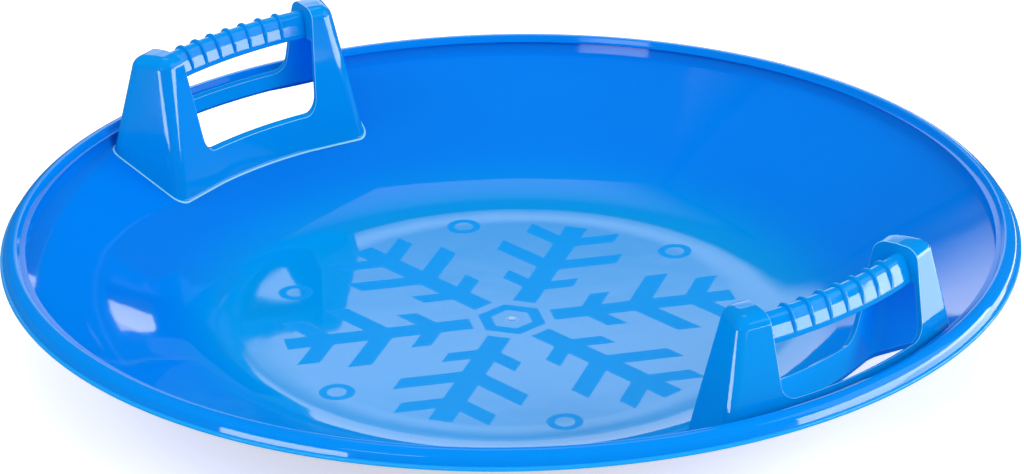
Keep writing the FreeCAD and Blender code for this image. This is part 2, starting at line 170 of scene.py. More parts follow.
class Finish(bpy.types.PropertyGroup):
    """Colours and gloss of the plastic, with painted light: paler tints on thin edges and the lip, and a
    painted glow inside the frames.
    """
    dish_blue: tint("Dish", "Walls of the dish", (0, 0.205, 0.83))
    seat_blue: tint("Seat", "Flat seat of the dish", (0, 0.3, 0.78))
    rim_blue: tint("Rim", "Raised rim of the dish", (0, 0.25, 0.85))
    # Painted light: the lip's paler tint stands in for light that passes through the thin lip.
    lip_painted_light_blue: tint("Lip", "Thin lip of the rim, where light passes through", (0.01, 0.36, 0.9))
    # Partly painted light: greener and paler than the dish's tint, standing in for light that passes through
    # the thin walls.
    handle_blue: tint("Handle", "Faces of the handle frames", (0, 0.29, 0.83))
    # Painted highlight: a pale tint for the rounded edges and the foot line, standing in for light that
    # passes through and catches them.
    edge_highlight_blue: tint("Edge", "Thin edges, where light passes through", (0.3, 0.72, 1))
    grip_blue: tint("Grip", "Faces of the grips", (0, 0.29, 0.84))
    motif: tint("Motif", "Etched design on the seat", (0, 0.3, 0.82))
    stress: tint("Stress mark", "Whitened plastic at the gate mark", (0.35, 0.58, 0.86))
    # Painted glow: emission inside the frames stands in for light coming through the walls, and is dimmer
    # inside the posts as painted shade.
    painted_glow: tint("Glow", "Light that comes through the walls into the hollow", (0, 0.4, 1))
    painted_post_glow: tint("Deep glow", "The same inside the posts", (0, 0.09, 0.75))
    gloss: amount("Gloss", "Roughness of polished faces", 0.045)
    matt: amount("Matt", "Roughness of the etched design", 0.42)


class Studio(bpy.types.PropertyGroup):
    """Camera and light."""
    distance: length("Camera distance", "From the origin", 2.3135)
    azimuth: turn("Camera azimuth", "Round the sled from the -Y side", 47.684)
    elevation: turn("Camera elevation", "Above the horizon", 25.981)
    yaw: turn("Camera yaw", "Aim, about the camera's upright axis", 0.022)
    pitch: turn("Camera pitch", "Aim, about the camera's level axis", -1.2625)
    roll: turn("Camera roll", "Aim, about the view axis", 0.925)
    lens: FloatProperty(name="Lens", description="Focal length", default=138.34, unit="CAMERA")
    floor: tint("Floor", "Plain pale floor", (0.9, 0.9, 0.9))
    sky_fill: amount("Sky fill", "Even light from all round", 0.7)


class SledSettings(bpy.types.PropertyGroup):
    """All that the panel shows."""
    dish: PointerProperty(type=DishSizes)
    handle: PointerProperty(type=HandleSizes)
    grip: PointerProperty(type=GripSizes)
    finish: PointerProperty(type=Finish)
    studio: PointerProperty(type=Studio)


class Layout:
    """Places worked out from the settings: the handles stand on the wall, so they follow the rim."""

    def __init__(self, settings):
        dish, handle, grip = settings.dish, settings.handle, settings.grip
        self.corner_radius = (dish.rim_radius - dish.lip_width - dish.rim_draft - dish.rim_top
                              - dish.step_width)
        self.corner_height = dish.rim_height - dish.step_height
        self.seat = dish.wall
        self.wall_slope = math.tan(dish.wall_angle)
        self.seat_bend = self.corner_radius - (self.corner_height - self.seat) / self.wall_slope
        self.foot_radius = self.corner_radius - handle.foot_inset
        self.foot_height = self.wall_height(self.foot_radius)
        self.top = FRAME_TOP.z
        self.bar_height = grip.middle
        self.bar_thickness = BAR_ROOM
        self.outer_slope = math.tan(handle.outer_lean)
        self.inner_slope = math.tan(handle.inner_lean)
        self.bar_radius = self.outer_radius(self.bar_height) - handle.outer_cover - self.bar_thickness / 2
        self.bar_depth = handle.inner_cover + self.bar_thickness / 2
        self.depth = self.bar_depth + self.bar_thickness / 2 + handle.outer_cover
        self.opening_angle = handle.opening_angle
        self.opening_slope = math.tan(handle.opening_lean)
        self.end_fan = handle.end_fan
        self.end_slope = math.tan(handle.end_lean)
        self.end_half = self.bar_radius * math.tan(handle.opening_angle) + handle.post_width
        self.half_opening = self.bar_radius * self.opening_angle
        self.half_length = self.bar_radius * self.end_angle(self.bar_radius, self.bar_height)

    def wall_height(self, radius):
        """Height of the dish wall's upper face."""
        return self.seat + (radius - self.seat_bend) * self.wall_slope

    def outer_radius(self, height):
        """The frame's outer face."""
        return self.foot_radius - (height - self.foot_height) * self.outer_slope

    def inner_radius(self, height):
        """The frame's inner face."""
        return self.bar_radius - self.bar_depth + (height - self.bar_height) * self.inner_slope

    def opening_side(self, radius, height):
        """Turn about Z of a post's side towards the opening."""
        shift = (height - self.bar_height) * self.opening_slope
        return self.opening_angle + math.asin(shift * math.cos(self.opening_angle) / radius)

    def end_angle(self, radius, height):
        """Turn about Z of a post's outer end."""
        shift = (self.end_half - self.bar_radius * math.tan(self.end_fan)
                 - (height - self.bar_height) * self.end_slope)
        return self.end_fan + math.asin(shift * math.cos(self.end_fan) / radius)

    def bend_frame(self, point):
        """Where a point of the straight frame lies on the sled.

        The straight frame is a plain box: x runs from the inner face to the outer face, y along
        the handle, and z is the height with the foot level at the outer foot.  Distances from its
        faces, foot, top and opening are kept, and what lies between is stretched.
        """
        height = point.z
        for _ in range(SETTLE_STEPS):
            inner, outer = self.inner_radius(height), self.outer_radius(height)
            radius = inner + stretched(point.x, self.depth, outer - inner, FACE_KEEP, FACE_KEEP)
            rise = self.top - self.wall_height(radius)
            height = self.top - stretched(self.top - point.z, self.top - self.foot_height, rise,
                                          CAP_KEEP, FOOT_KEEP)
        side, end = self.opening_side(radius, height), self.end_angle(radius, height)
        along = abs(point.y)
        if along <= self.half_opening:
            angle = side * along / self.half_opening
        else:
            angle = side + stretched(along - self.half_opening, self.half_length - self.half_opening,
                                     (end - side) * radius, POST_KEEP, POST_KEEP) / radius
        angle = math.copysign(angle, point.y)
        return Vector((radius * math.cos(angle), radius * math.sin(angle), height))

    def bend_bar(self, point):
        """Where a point of the straight grip lies: x and z across the bar, y along it."""
        radius = self.bar_radius + point.x
        height = self.bar_height + point.z
        angle = self.opening_side(radius, height) * point.y / self.half_opening
        return Vector((radius * math.cos(angle), radius * math.sin(angle), height))


# How much of the straight frame keeps its distance from each face when it is bent
FACE_KEEP = 12 * MM
POST_KEEP = 8 * MM
CAP_KEEP = 25 * MM
FOOT_KEEP = 31 * MM
SETTLE_STEPS = 6


def stretched(place, span, real, keep_low, keep_high):
    """A place along a span when the middle of the span is stretched to a real length."""
    if place <= keep_low:
        return place
    if place >= span - keep_high:
        return real - (span - place)
    share = (place - keep_low) / (span - keep_low - keep_high)
    return keep_low + share * (real - keep_low - keep_high)


# Drawing a section and turning it
class Pen:
    """Draws a line of straight runs and arcs in the XZ plane of a bmesh."""

    def __init__(self, shape, x, z):
        self.shape = shape
        self.tip = bmesh.ops.create_vert(shape, co=(x, 0, z))["vert"][0]

    def line_to(self, place):
        if (place - self.tip.co).length < CLOSE:
            return
        grown = bmesh.ops.extrude_vert_indiv(self.shape, verts=[self.tip])["verts"][0]
        grown.co = place
        self.tip = grown

    def corner(self, place, after, radius, facets):
        """A rounded corner at a place, on the way to the next one."""
        arriving = (place - self.tip.co).normalized()
        leaving = (after - place).normalized()
        swing = arriving.angle(leaving)
        cut = radius * math.tan(swing / 2)
        self.line_to(place - arriving * cut)
        axis = arriving.cross(leaving).normalized()
        centre = self.tip.co + axis.cross(arriving) * radius
        arc = bmesh.ops.spin(self.shape, geom=[self.tip], cent=centre, axis=axis, angle=swing,
                             steps=facets, use_duplicate=False)
        self.tip = only(BMVert, arc["geom_last"])[0]

    def route(self, stops):
        """Through the stops (x, z, radius, facets); a stop of no radius stays sharp."""
        places = [Vector((x, 0, z)) for x, z, _, _ in stops]
        for i, (_, _, radius, facets) in enumerate(stops):
            if radius and i + 1 < len(stops):
                self.corner(places[i], places[i + 1], radius, facets)
            else:
                self.line_to(places[i])


CLOSE = 1e-7    # nearer than this, two places are the same
WELD = 1e-6     # nearer than this, two corners become one


def only(kind, parts):
    """Those of the parts that are of one kind."""
    return [part for part in parts if isinstance(part, kind)]


def turned(shape, axis, steps):
    """Spin everything drawn so far once round an axis through the origin, and close it."""
    parts = shape.verts[:] + shape.edges[:]
    bmesh.ops.spin(shape, geom=parts, cent=(0, 0, 0), axis=axis, angle=2 * math.pi, steps=steps,
                   use_merge=True, use_duplicate=False)
    bmesh.ops.remove_doubles(shape, verts=shape.verts, dist=WELD)
    bmesh.ops.recalc_face_normals(shape, faces=shape.faces)


def block(low, high):
    """A bmesh with one box between two corners."""
    shape = bmesh.new()
    low, high = Vector(low), Vector(high)
    bmesh.ops.create_cube(shape, size=1, matrix=Matrix.Translation((low + high) / 2)
                          @ Matrix.Diagonal((*(high - low), 1)))
    return shape


def rounded(shape, radius, segments, wanted):
    """Round the edges that pass the test."""
    edges = [edge for edge in shape.edges if wanted(edge)]
    bmesh.ops.bevel(shape, geom=edges, offset=radius, segments=segments, profile=0.5,
                    affect="EDGES", material=-1, clamp_overlap=True)


def upright(edge):
    run = edge.verts[0].co - edge.verts[1].co
    return abs(run.z) > max(abs(run.x), abs(run.y))


def level_at(height):
    return lambda edge: all(abs(vert.co.z - height) < WELD for vert in edge.verts)


def raised(shape, face, rise):
    """Extrude a face upwards, with no face left behind; gives its new corners."""
    verts = only(BMVert, bmesh.ops.extrude_face_region(shape, geom=[face])["geom"])
    bmesh.ops.delete(shape, geom=[face], context="FACES_ONLY")
    bmesh.ops.translate(shape, verts=verts, vec=(0, 0, rise))
    return verts


def grown_down(shape, drop, spread):
    """Extrude the lowest face downwards and spread its outline by a distance."""
    face = min(shape.faces, key=lambda face: face.calc_center_median().z)
    middle = face.calc_center_bounds()
    span = [max(vert.co[i] for vert in face.verts) - min(vert.co[i] for vert in face.verts) for i in (0, 1)]
    scale = [(size + 2 * spread) / size for size in span] + [1]
    verts = raised(shape, face, -drop)
    bmesh.ops.scale(shape, verts=verts, vec=scale, space=Matrix.Translation(-middle))


def sliced(shape, place, normal):
    """Cut new edges into a shape where a plane crosses it."""
    bmesh.ops.bisect_plane(shape, geom=shape.verts[:] + shape.edges[:] + shape.faces[:], dist=WELD,
                           plane_co=place, plane_no=normal)


def add_peg(shape, place, radius, run):
    """Add a round bar that lies along y."""
    along_y = Matrix.Rotation(math.pi / 2, 4, "X")
    bmesh.ops.create_cone(shape, cap_ends=True, segments=PEG_SIDES, radius1=radius, radius2=radius,
                          depth=run, matrix=Matrix.Translation(place) @ along_y)


PEG_SIDES = 32


def as_object(name, shape):
    mesh = bpy.data.meshes.new(name)
    shape.to_mesh(mesh)
    shape.free()
    piece = bpy.data.objects.new(name, mesh)
    bpy.context.scene.collection.objects.link(piece)
    return piece


def discard(piece):
    mesh = piece.data
    bpy.data.objects.remove(piece)
    bpy.data.meshes.remove(mesh)


def settled(piece):
    """A bmesh of the object with its modifiers applied; the object is deleted."""
    shape = bmesh.new()
    shape.from_object(piece, bpy.context.evaluated_depsgraph_get())
    discard(piece)
    return shape


def carved(shape, *cutters):
    """The shape with the cutters taken away and no slivers left."""
    piece = as_object("carving", shape)
    tools = [as_object("cutter", cutter) for cutter in cutters]
    for tool in tools:
        carve = piece.modifiers.new("Carve", "BOOLEAN")
        carve.operation = "DIFFERENCE"
        carve.solver = "EXACT"
        carve.object = tool
    result = settled(piece)
    for tool in tools:
        discard(tool)
    bmesh.ops.remove_doubles(result, verts=result.verts, dist=WELD)
    bmesh.ops.dissolve_degenerate(result, edges=result.edges, dist=WELD)
    return result


def finished(name, shape, node, slot, *materials):
    """Make the piece that stands for a node, riding on the sled."""
    for face in shape.faces:
        face.smooth = True
    piece = as_object(name, shape)
    for material in materials:
        piece.data.materials.append(material)
    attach(piece, BODY)
    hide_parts(node)
    return piece


def even_faces(piece):
    """Shade large faces flat beside their rounded edges."""
    level = piece.modifiers.new("Even faces", "WEIGHTED_NORMAL")
    level.keep_sharp = True


def mirrored(shape):
    """A copy on the other side of the YZ plane."""
    copy = shape.copy()
    bmesh.ops.scale(copy, verts=copy.verts, vec=(-1, 1, 1))
    bmesh.ops.reverse_faces(copy, faces=copy.faces)
    return copy


# Dish
DISH_STEPS = 300
BEND_FACETS = 20
ROUND_FACETS = 8
SMALL_FACETS = 4
LEAST_FACETS = 3


def parallel_corner(before, corner, after, distance):
    """The matching corner of a line that runs below two runs, at a distance."""
    normals = []
    for start, end in ((before, corner), (corner, after)):
        run = (end - start).normalized()
        normals.append(Vector((run.z, 0, -run.x)))
    return corner + (normals[0] + normals[1]) * distance / (1 + normals[0].dot(normals[1]))


def dish_section(layout, dish):
    """Upper side from the middle out, round the lip, and back along the underside."""
    lip_low = dish.rim_height - dish.rim_drop
    lip_high = lip_low + dish.lip_thickness
    step_radius = layout.corner_radius + dish.step_width
    face_radius = dish.rim_radius - dish.lip_width
    gate = [(dish.gate_radius, layout.seat + dish.gate_height, dish.gate_height / 2, SMALL_FACETS),
            (dish.gate_radius, layout.seat, dish.gate_height / 4, LEAST_FACETS),
            (3 * dish.gate_radius, layout.seat, 0, 0)]
    start, ease = layout.seat_bend - dish.ease_reach, math.tan(dish.ease_turn)
    reach = dish.ease_reach * layout.wall_slope / (layout.wall_slope - ease)
    rounds = [(start, layout.seat, dish.ease_round, BEND_FACETS),
              (start + reach, layout.seat + reach * ease, dish.bend_round, BEND_FACETS),
              (layout.corner_radius, layout.corner_height, dish.corner_round, ROUND_FACETS),
              (step_radius, dish.rim_height, dish.rim_inner_round, ROUND_FACETS),
              (step_radius + dish.rim_top, dish.rim_height, dish.rim_outer_round, ROUND_FACETS)]
    foot = (face_radius, lip_high, dish.lip_round / 2, LEAST_FACETS)
    lip = [(dish.rim_radius, height, dish.lip_round, SMALL_FACETS) for height in (lip_high, lip_low)]
    line = [(0, layout.seat)] + [stop[:2] for stop in rounds + [foot]]
    line = [Vector((x, 0, z)) for x, z in line]
    under = [parallel_corner(line[i - 1], line[i], line[i + 1], dish.wall) for i in range(1, len(line) - 1)]
    run = line[-1] - line[-2]
    heel = under[-1] + run * ((lip_low - under[-1].z) / run.z)
    back = [(heel.x, lip_low, dish.lip_round / 2, LEAST_FACETS)]
    turns = [(dish.rim_outer_round - dish.wall, LEAST_FACETS),
             (dish.rim_inner_round + dish.wall, ROUND_FACETS), (dish.corner_round + dish.wall, ROUND_FACETS),
             (dish.bend_round + dish.wall, BEND_FACETS), (dish.ease_round + dish.wall, BEND_FACETS)]
    for place, (radius, facets) in zip(reversed(under), turns):
        back.append((place.x, place.z, radius, facets))
    return gate + rounds + [foot] + lip + back + [(0, 0, 0, 0)]


def slot_cutter(layout, handle):
    """A straight block just inside the frame's faces, bent into place."""
    inset = handle.foot_width
    shape = block((inset, inset - layout.half_length, layout.foot_height - SLOT_REACH),
                  (layout.depth - inset, layout.half_length - inset, layout.foot_height + SLOT_REACH))
    rounded(shape, handle.post_round - inset, HOLLOW_FACETS, upright)
    crossed(shape, layout)
    bent(shape, layout.bend_frame)
    return shape


def crossed(shape, layout):
    """Cut the straight shape across its length, so that it can bend."""
    pieces = 2 * BEND_CUTS
    for i in range(1, pieces):
        sliced(shape, (0, layout.half_opening * (2 * i / pieces - 1), 0), (0, 1, 0))


def crowned(shape, layout, handle):
    """Let the tops of the posts fall away from their middle line."""
    for i in range(1, CROWN_CUTS):
        sliced(shape, (layout.depth * i / CROWN_CUTS, 0, 0), (1, 0, 0))
    start = layout.top - handle.cap_round
    for vert in shape.verts:
        rise = max(0, vert.co.z - start) / handle.cap_round
        vert.co.z -= handle.cap_crown * rise * (2 * vert.co.x / layout.depth - 1) ** 2


def bent(shape, bend):
    for vert in shape.verts:
        vert.co = bend(vert.co.copy())


BEND_CUTS = 6
CROWN_CUTS = 8
SHARP = math.radians(35)    # edges sharper than this stay sharp
SLOT_REACH = 15 * MM        # how far the slot's cutter stands out of the dish wall


class SLED_OT_dish(bpy.types.Operator):
    """Turn the dish from its section and cut the two handle slots"""
    bl_idname = "sled.make_dish"
    bl_label = "Make Dish"

    def execute(self, context):
        settings = context.scene.sled
        layout = Layout(settings)
        shape = bmesh.new()
        pen = Pen(shape, 0, layout.seat + settings.dish.gate_height)
        pen.route(dish_section(layout, settings.dish))
        turned(shape, (0, 0, 1), DISH_STEPS)
        right = slot_cutter(layout, settings.handle)
        shape = carved(shape, right.copy(), mirrored(right))
        right.free()
        piece = finished("dish_shell", shape, "dish", "dish_plastic", dish_plastic(settings.finish))
        piece.data.set_sharp_from_angle(angle=SHARP)
        even_faces(piece)
        return {"FINISHED"}


# Handle frames
POST_FACETS, CAP_FACETS, SILL_FACETS = 7, 6, 8
HOLLOW_FACETS, HOLLOW_TOP_FACETS = 5, 4
EDGE_FACETS = 3
FLARE_FACETS = 4
FOOT_HIGHLIGHT_SHARE = 0.35                 # share of the flare that gets the painted highlight of the edges
# Material slots: the painted highlight of the edges and the painted glow inside.
EDGE_PAINTED_HIGHLIGHT, INSIDE_PAINTED_GLOW = 1, 2


def frame_block(layout, handle):
    """The straight frame's outer form: a rounded box with a flared foot."""
    flare = handle.foot_fillet
    foot = layout.foot_height + handle.foot_gap
    shape = block((0, -layout.half_length, foot + flare), (layout.depth, layout.half_length, layout.top))
    rounded(shape, handle.post_round, POST_FACETS, upright)
    rounded(shape, handle.cap_round, CAP_FACETS, level_at(layout.top))
    turns = [i * math.pi / 2 / FLARE_FACETS for i in range(FLARE_FACETS + 1)]
    for before, after in zip(turns, turns[1:]):
        grown_down(shape, flare * (math.sin(after) - math.sin(before)),
                   flare * (math.cos(before) - math.cos(after)))
    return shape


def frame_hollow(layout, handle):
    """The space inside the frame: one trough with a tower into each post."""
    wall = handle.wall
    low = layout.foot_height - SLOT_REACH
    shelf = layout.bar_height - handle.web_bottom
    shape = block((wall, wall - layout.half_length, low),
                  (layout.depth - wall, layout.half_length - wall, shelf))
    rounded(shape, handle.post_round - wall, HOLLOW_FACETS, upright)
    for way in (-1, 1):
        sliced(shape, (0, way * (layout.half_opening + handle.web), 0), (0, 1, 0))
    tops = [face for face in shape.faces if face.normal.z > 0.9
            and abs(face.calc_center_median().y) > layout.half_opening]
    for top in tops:
        raised(shape, top, layout.top - wall - shelf)
    rounded(shape, handle.cap_round - wall, HOLLOW_TOP_FACETS, level_at(layout.top - wall))
    return shape


def window(layout, handle, near, far, sill):
    """The opening in one wall, with round lower corners."""
    shape = block((near, -layout.half_opening, sill), (far, layout.half_opening, layout.top + handle.wall))
    rounded(shape, handle.sill_round, SILL_FACETS, lambda edge: level_at(sill)(edge)
            and abs(edge.verts[0].co.y - edge.verts[1].co.y) < WELD)
    return shape


def tenon_hole(layout, handle, grip, way):
    shape = bmesh.new()
    place = (layout.bar_depth, way * (layout.half_opening + handle.web / 2), layout.bar_height)
    add_peg(shape, place, grip.tenon_thickness / 2 + grip.tenon_gap, 2 * handle.web)
    return shape


def weigh_edges(shape, layout, handle):
    """Mark how strongly each sharp edge is rounded: most on the post tops towards the opening."""
    weight = shape.edges.layers.float.new("bevel_weight_edge")
    high = layout.bar_height - handle.web_bottom
    for edge in shape.edges:
        if len(edge.link_faces) != 2 or edge.calc_face_angle(0) < SHARP:
            continue
        edge[weight] = handle.edge_round / handle.lintel_round
        on_side = all(abs(abs(vert.co.y) - layout.half_opening) < WELD for vert in edge.verts)
        outside = all(vert.co.z > high + WELD for vert in edge.verts)
        hole = all((Vector((vert.co.x - layout.bar_depth, vert.co.z - layout.bar_height)).length
                    < layout.bar_thickness / 2) for vert in edge.verts)
        if on_side and outside and not hole:
            edge[weight] = 1


def paint_foot_highlight_and_glow(shape, layout, handle):
    """Give the foot the painted highlight of the edges, and the inside its painted glow."""
    foot = layout.foot_height + handle.foot_gap + handle.foot_fillet * FOOT_HIGHLIGHT_SHARE
    deep = handle.wall - WELD
    for face in shape.faces:
        place = face.calc_center_median()
        inside = (deep < place.x < layout.depth - deep and abs(place.y) < layout.half_length - deep
                  and place.z < layout.top - deep)
        if inside and (abs(face.normal.y) < 0.5 or abs(place.y) > layout.half_opening + WELD):
            face.material_index = INSIDE_PAINTED_GLOW
        elif not inside and max(vert.co.z for vert in face.verts) < foot + WELD:
            face.material_index = EDGE_PAINTED_HIGHLIGHT


class SLED_OT_handles(bpy.types.Operator):
    """Carve a straight frame, round its edges, bend it onto the dish and mirror it"""
    bl_idname = "sled.make_handles"
    bl_label = "Make Handle Frames"

    def execute(self, context):
        settings = context.scene.sled
        layout, handle = Layout(settings), settings.handle
        middle = layout.bar_depth
        overlap = handle.wall
        shape = carved(
            frame_block(layout, handle), frame_hollow(layout, handle),
            window(layout, handle, -overlap, middle, layout.foot_height + handle.inner_upstand),
            window(layout, handle, middle - overlap, layout.depth + overlap,
                   layout.foot_height + handle.outer_upstand),
            tenon_hole(layout, handle, settings.grip, -1), tenon_hole(layout, handle, settings.grip, 1))
        crossed(shape, layout)
        weigh_edges(shape, layout, handle)
        crowned(shape, layout, handle)
        finish = settings.finish
        finishes = (handle_plastic(finish), edge_painted_highlight(finish), hollow_painted_glow(finish))
        piece = as_object("straight_frame", shape)
        for material in finishes:
            piece.data.materials.append(material)
        soften = piece.modifiers.new("Round", "BEVEL")
        soften.limit_method = "WEIGHT"
        soften.width = handle.lintel_round
        soften.segments = EDGE_FACETS
        soften.use_clamp_overlap = True
        # The rounded edges take the painted highlight.
        soften.material = EDGE_PAINTED_HIGHLIGHT
        shape = settled(piece)
        paint_foot_highlight_and_glow(shape, layout, handle)
        bent(shape, layout.bend_frame)
        for name, side in (("right_handle_shell", shape.copy()), ("left_handle_shell", mirrored(shape))):
            piece = finished(name, side, name.replace("shell", "frame"), "handle_plastic", *finishes)
            even_faces(piece)
        shape.free()
        return {"FINISHED"}


# Grips
ARCH_FACETS = 14
STEP_FACETS = 2
RIB_FACETS = 6
RIB_FULLNESS = 0.75
TINY_ROUND = 0.4 * MM
SHOULDER_ROUND = 5 * MM
CROWN_SHARE = 0.5       # where the top's straight runs would meet, as a share of the shoulder
FLUSH_PART = 20         # a rib stops short of the beads by their reach over this
CHANNEL_SHARE = 0.9     # round of the channel's top, as a share of its half width
CHANNEL_FACETS = 6


def arch(half, reach, flare, crown, grip):
    """Points round a grip's section: flat below, beads, flared sides and a round top."""
    low, bead = -grip.drop, grip.bead_height - grip.drop
    shoulder = half - (grip.shoulder - bead) * math.tan(flare)
    corner = shoulder * CROWN_SHARE
    lean = math.atan2(shoulder - corner, crown - grip.shoulder)
    radius = corner / math.tan((math.pi / 2 - lean) / 2)
    step = min(reach, TINY_ROUND) / 2
    right = [(half + reach, low, TINY_ROUND, LEAST_FACETS), (half + reach, bead, step, STEP_FACETS),
             (half, bead, step, STEP_FACETS), (shoulder, grip.shoulder, SHOULDER_ROUND, SMALL_FACETS),
             (corner, crown, radius, ARCH_FACETS)]
    left = [(-x, z, radius, facets) for x, z, radius, facets in reversed(right)]
    shape = bmesh.new()
    pen = Pen(shape, 0, low)
    pen.route(right + left + [(0, low, 0, 0)])
    shape.verts.ensure_lookup_table()
    places = [vert.co.copy() for vert in shape.verts][:-1]
    shape.free()
    return places


def rib_profile(grip):
    """Stations along the bar, each with how far the section has grown from bar to rib."""
    half = grip.rib_width / 2
    stations = []
    for i in range(grip.rib_count):
        middle = (i - (grip.rib_count - 1) / 2) * grip.rib_pitch
        for j in range(-RIB_FACETS, RIB_FACETS + 1):
            place = j / RIB_FACETS
            stations.append((middle + place * half, (1 - abs(place) ** 3) ** RIB_FULLNESS))
        stations.append((middle + grip.rib_pitch / 3, 0))
        stations.append((middle + grip.rib_pitch * 2 / 3, 0))
    return stations[:-2]


def solid_bar(layout, grip):
    """The straight grip without its channel, station by station along y."""
    half = grip.width / 2
    plain = arch(half, grip.bead_reach, grip.flare, grip.crown, grip)
    flush = grip.bead_reach / FLUSH_PART
    ribbed = arch(half + grip.bead_reach - flush, flush, grip.rib_flare, grip.crown + grip.rib_height, grip)
    end = layout.half_opening - grip.end_gap
    ribs = rib_profile(grip)
    gap = (end - ribs[-1][0]) / 3
    ends = [(end, 0), (end - gap, 0), (end - 2 * gap, 0)]
    stations = [(-place, 0) for place, _ in ends] + ribs + ends[::-1]
    shape = bmesh.new()
    loop = [bmesh.ops.create_vert(shape, co=place)["vert"][0] for place in plain]
    edges = [shape.edges.new((vert, loop[(i + 1) % len(loop)])) for i, vert in enumerate(loop)]
    order = {vert: i for i, vert in enumerate(loop)}
    bmesh.ops.translate(shape, verts=loop, vec=(0, stations[0][0], 0))
    bmesh.ops.contextual_create(shape, geom=edges)
    for place, share in stations[1:]:
        grown = bmesh.ops.extrude_edge_only(shape, edges=edges)["geom"]
        edges = only(BMEdge, grown)
        following = {}
        for vert in only(BMVert, grown):
            link = next(edge for edge in vert.link_edges if edge.other_vert(vert) in order)
            column = order[link.other_vert(vert)]
            following[vert] = column
            vert.co = plain[column].lerp(ribbed[column], share) + Vector((0, place, 0))
        order = following
    bmesh.ops.contextual_create(shape, geom=edges)
    bmesh.ops.recalc_face_normals(shape, faces=shape.faces)
    return shape


def channel_cutter(layout, grip):
    """The inside of the channel, open below."""
    half = grip.width / 2 - grip.wall
    reach = layout.half_opening - grip.end_gap - grip.closed_end
    shape = block((-half, -reach, -2 * grip.drop), (half, reach, grip.crown - grip.wall))
    rounded(shape, half * CHANNEL_SHARE, CHANNEL_FACETS, lambda edge: level_at(grip.crown - grip.wall)(edge)
            and abs(edge.verts[0].co.x - edge.verts[1].co.x) < WELD)
    crossed(shape, layout)
    return shape


def add_tenons(shape, layout, grip, web):
    reach = web + grip.tenon_reach + grip.closed_end / 2
    for way in (-1, 1):
        place = (0, way * (layout.half_opening + web + grip.tenon_reach - reach / 2), 0)
        add_peg(shape, place, grip.tenon_thickness / 2, reach)


class SLED_OT_grips(bpy.types.Operator):
    """Build a straight ribbed channel, bend it between the posts and mirror it"""
    bl_idname = "sled.make_grips"
    bl_label = "Make Grips"

    def execute(self, context):
        settings = context.scene.sled
        layout, grip = Layout(settings), settings.grip
        shape = carved(solid_bar(layout, grip), channel_cutter(layout, grip))
        add_tenons(shape, layout, grip, settings.handle.web)
        bent(shape, layout.bend_bar)
        material = grip_plastic(settings.finish)
        for name, side in (("right_grip_bar", shape.copy()), ("left_grip_bar", mirrored(shape))):
            piece = finished(name, side, name.replace("_bar", ""), "grip_plastic", material)
            piece.data.set_sharp_from_angle(angle=SHARP)
            even_faces(piece)
        shape.free()
        return {"FINISHED"}


# Materials
class Nodes:
    """Short ways to add and join shader nodes in one tree."""

    def __init__(self, owner, shader="Principled BSDF"):
        owner.use_nodes = True
        self.owner = owner
        self.tree = owner.node_tree
        self.shader = self.tree.nodes[shader]

    def add(self, kind, **values):
        node = self.tree.nodes.new(kind)
        for key, value in values.items():
            setattr(node, key, value)
        return node

    def feed(self, socket, value):
        """Join an output to a socket, or set the socket's own value."""
        if isinstance(value, bpy.types.NodeSocket):
            self.tree.links.new(value, socket)
        else:
            socket.default_value = value

    def shade(self, values):
        """Set the shader's own sockets, or join outputs to them."""
        for key, value in values.items():
            self.feed(self.shader.inputs[key], value)

    def place(self):
        """The point that is shaded, in the piece's own coordinates."""
        return self.add("ShaderNodeTexCoord").outputs["Object"]

    def math(self, operation, *values):
        node = self.add("ShaderNodeMath", operation=operation)
        for socket, value in zip(node.inputs, values):
            self.feed(socket, value)
        return node.outputs[0]

    def times(self, first, second):
        return self.math("MULTIPLY", first, second)

    def minus(self, first, second):
        return self.math("SUBTRACT", first, second)

    def noise(self, scale, detail, roughness=0.5):
        node = self.add("ShaderNodeTexNoise")
        self.feed(node.inputs["Vector"], self.place())
        node.inputs["Scale"].default_value = scale
        node.inputs["Detail"].default_value = detail
        node.inputs["Roughness"].default_value = roughness
        return node.outputs["Fac"]

    def split(self):
        """The x, y and z of the point that is shaded."""
        node = self.add("ShaderNodeSeparateXYZ")
        self.feed(node.inputs[0], self.place())
        return node.outputs

    def reach(self, x, y):
        """Length of a step of x and y."""
        return self.math("SQRT", self.math("ADD", self.times(x, x), self.times(y, y)))

    def between(self, value, low, high, to_low=0.0, to_high=1.0, smooth=False):
        node = self.add("ShaderNodeMapRange", interpolation_type="SMOOTHSTEP" if smooth else "LINEAR")
        for socket, given in zip(node.inputs, (value, low, high, to_low, to_high)):
            self.feed(socket, given)
        return node.outputs[0]

    def blend(self, share, first, second):
        node = self.add("ShaderNodeMix", data_type="RGBA")
        self.feed(node.inputs["Factor"], share)
        self.feed(node.inputs["A"], first)
        self.feed(node.inputs["B"], second)
        return next(out for out in node.outputs if out.type == "RGBA")

    def bump(self, height, distance):
        node = self.add("ShaderNodeBump")
        node.inputs["Strength"].default_value = 1
        node.inputs["Distance"].default_value = distance
        self.feed(node.inputs["Height"], height)
        self.shade({"Normal": node.outputs["Normal"]})


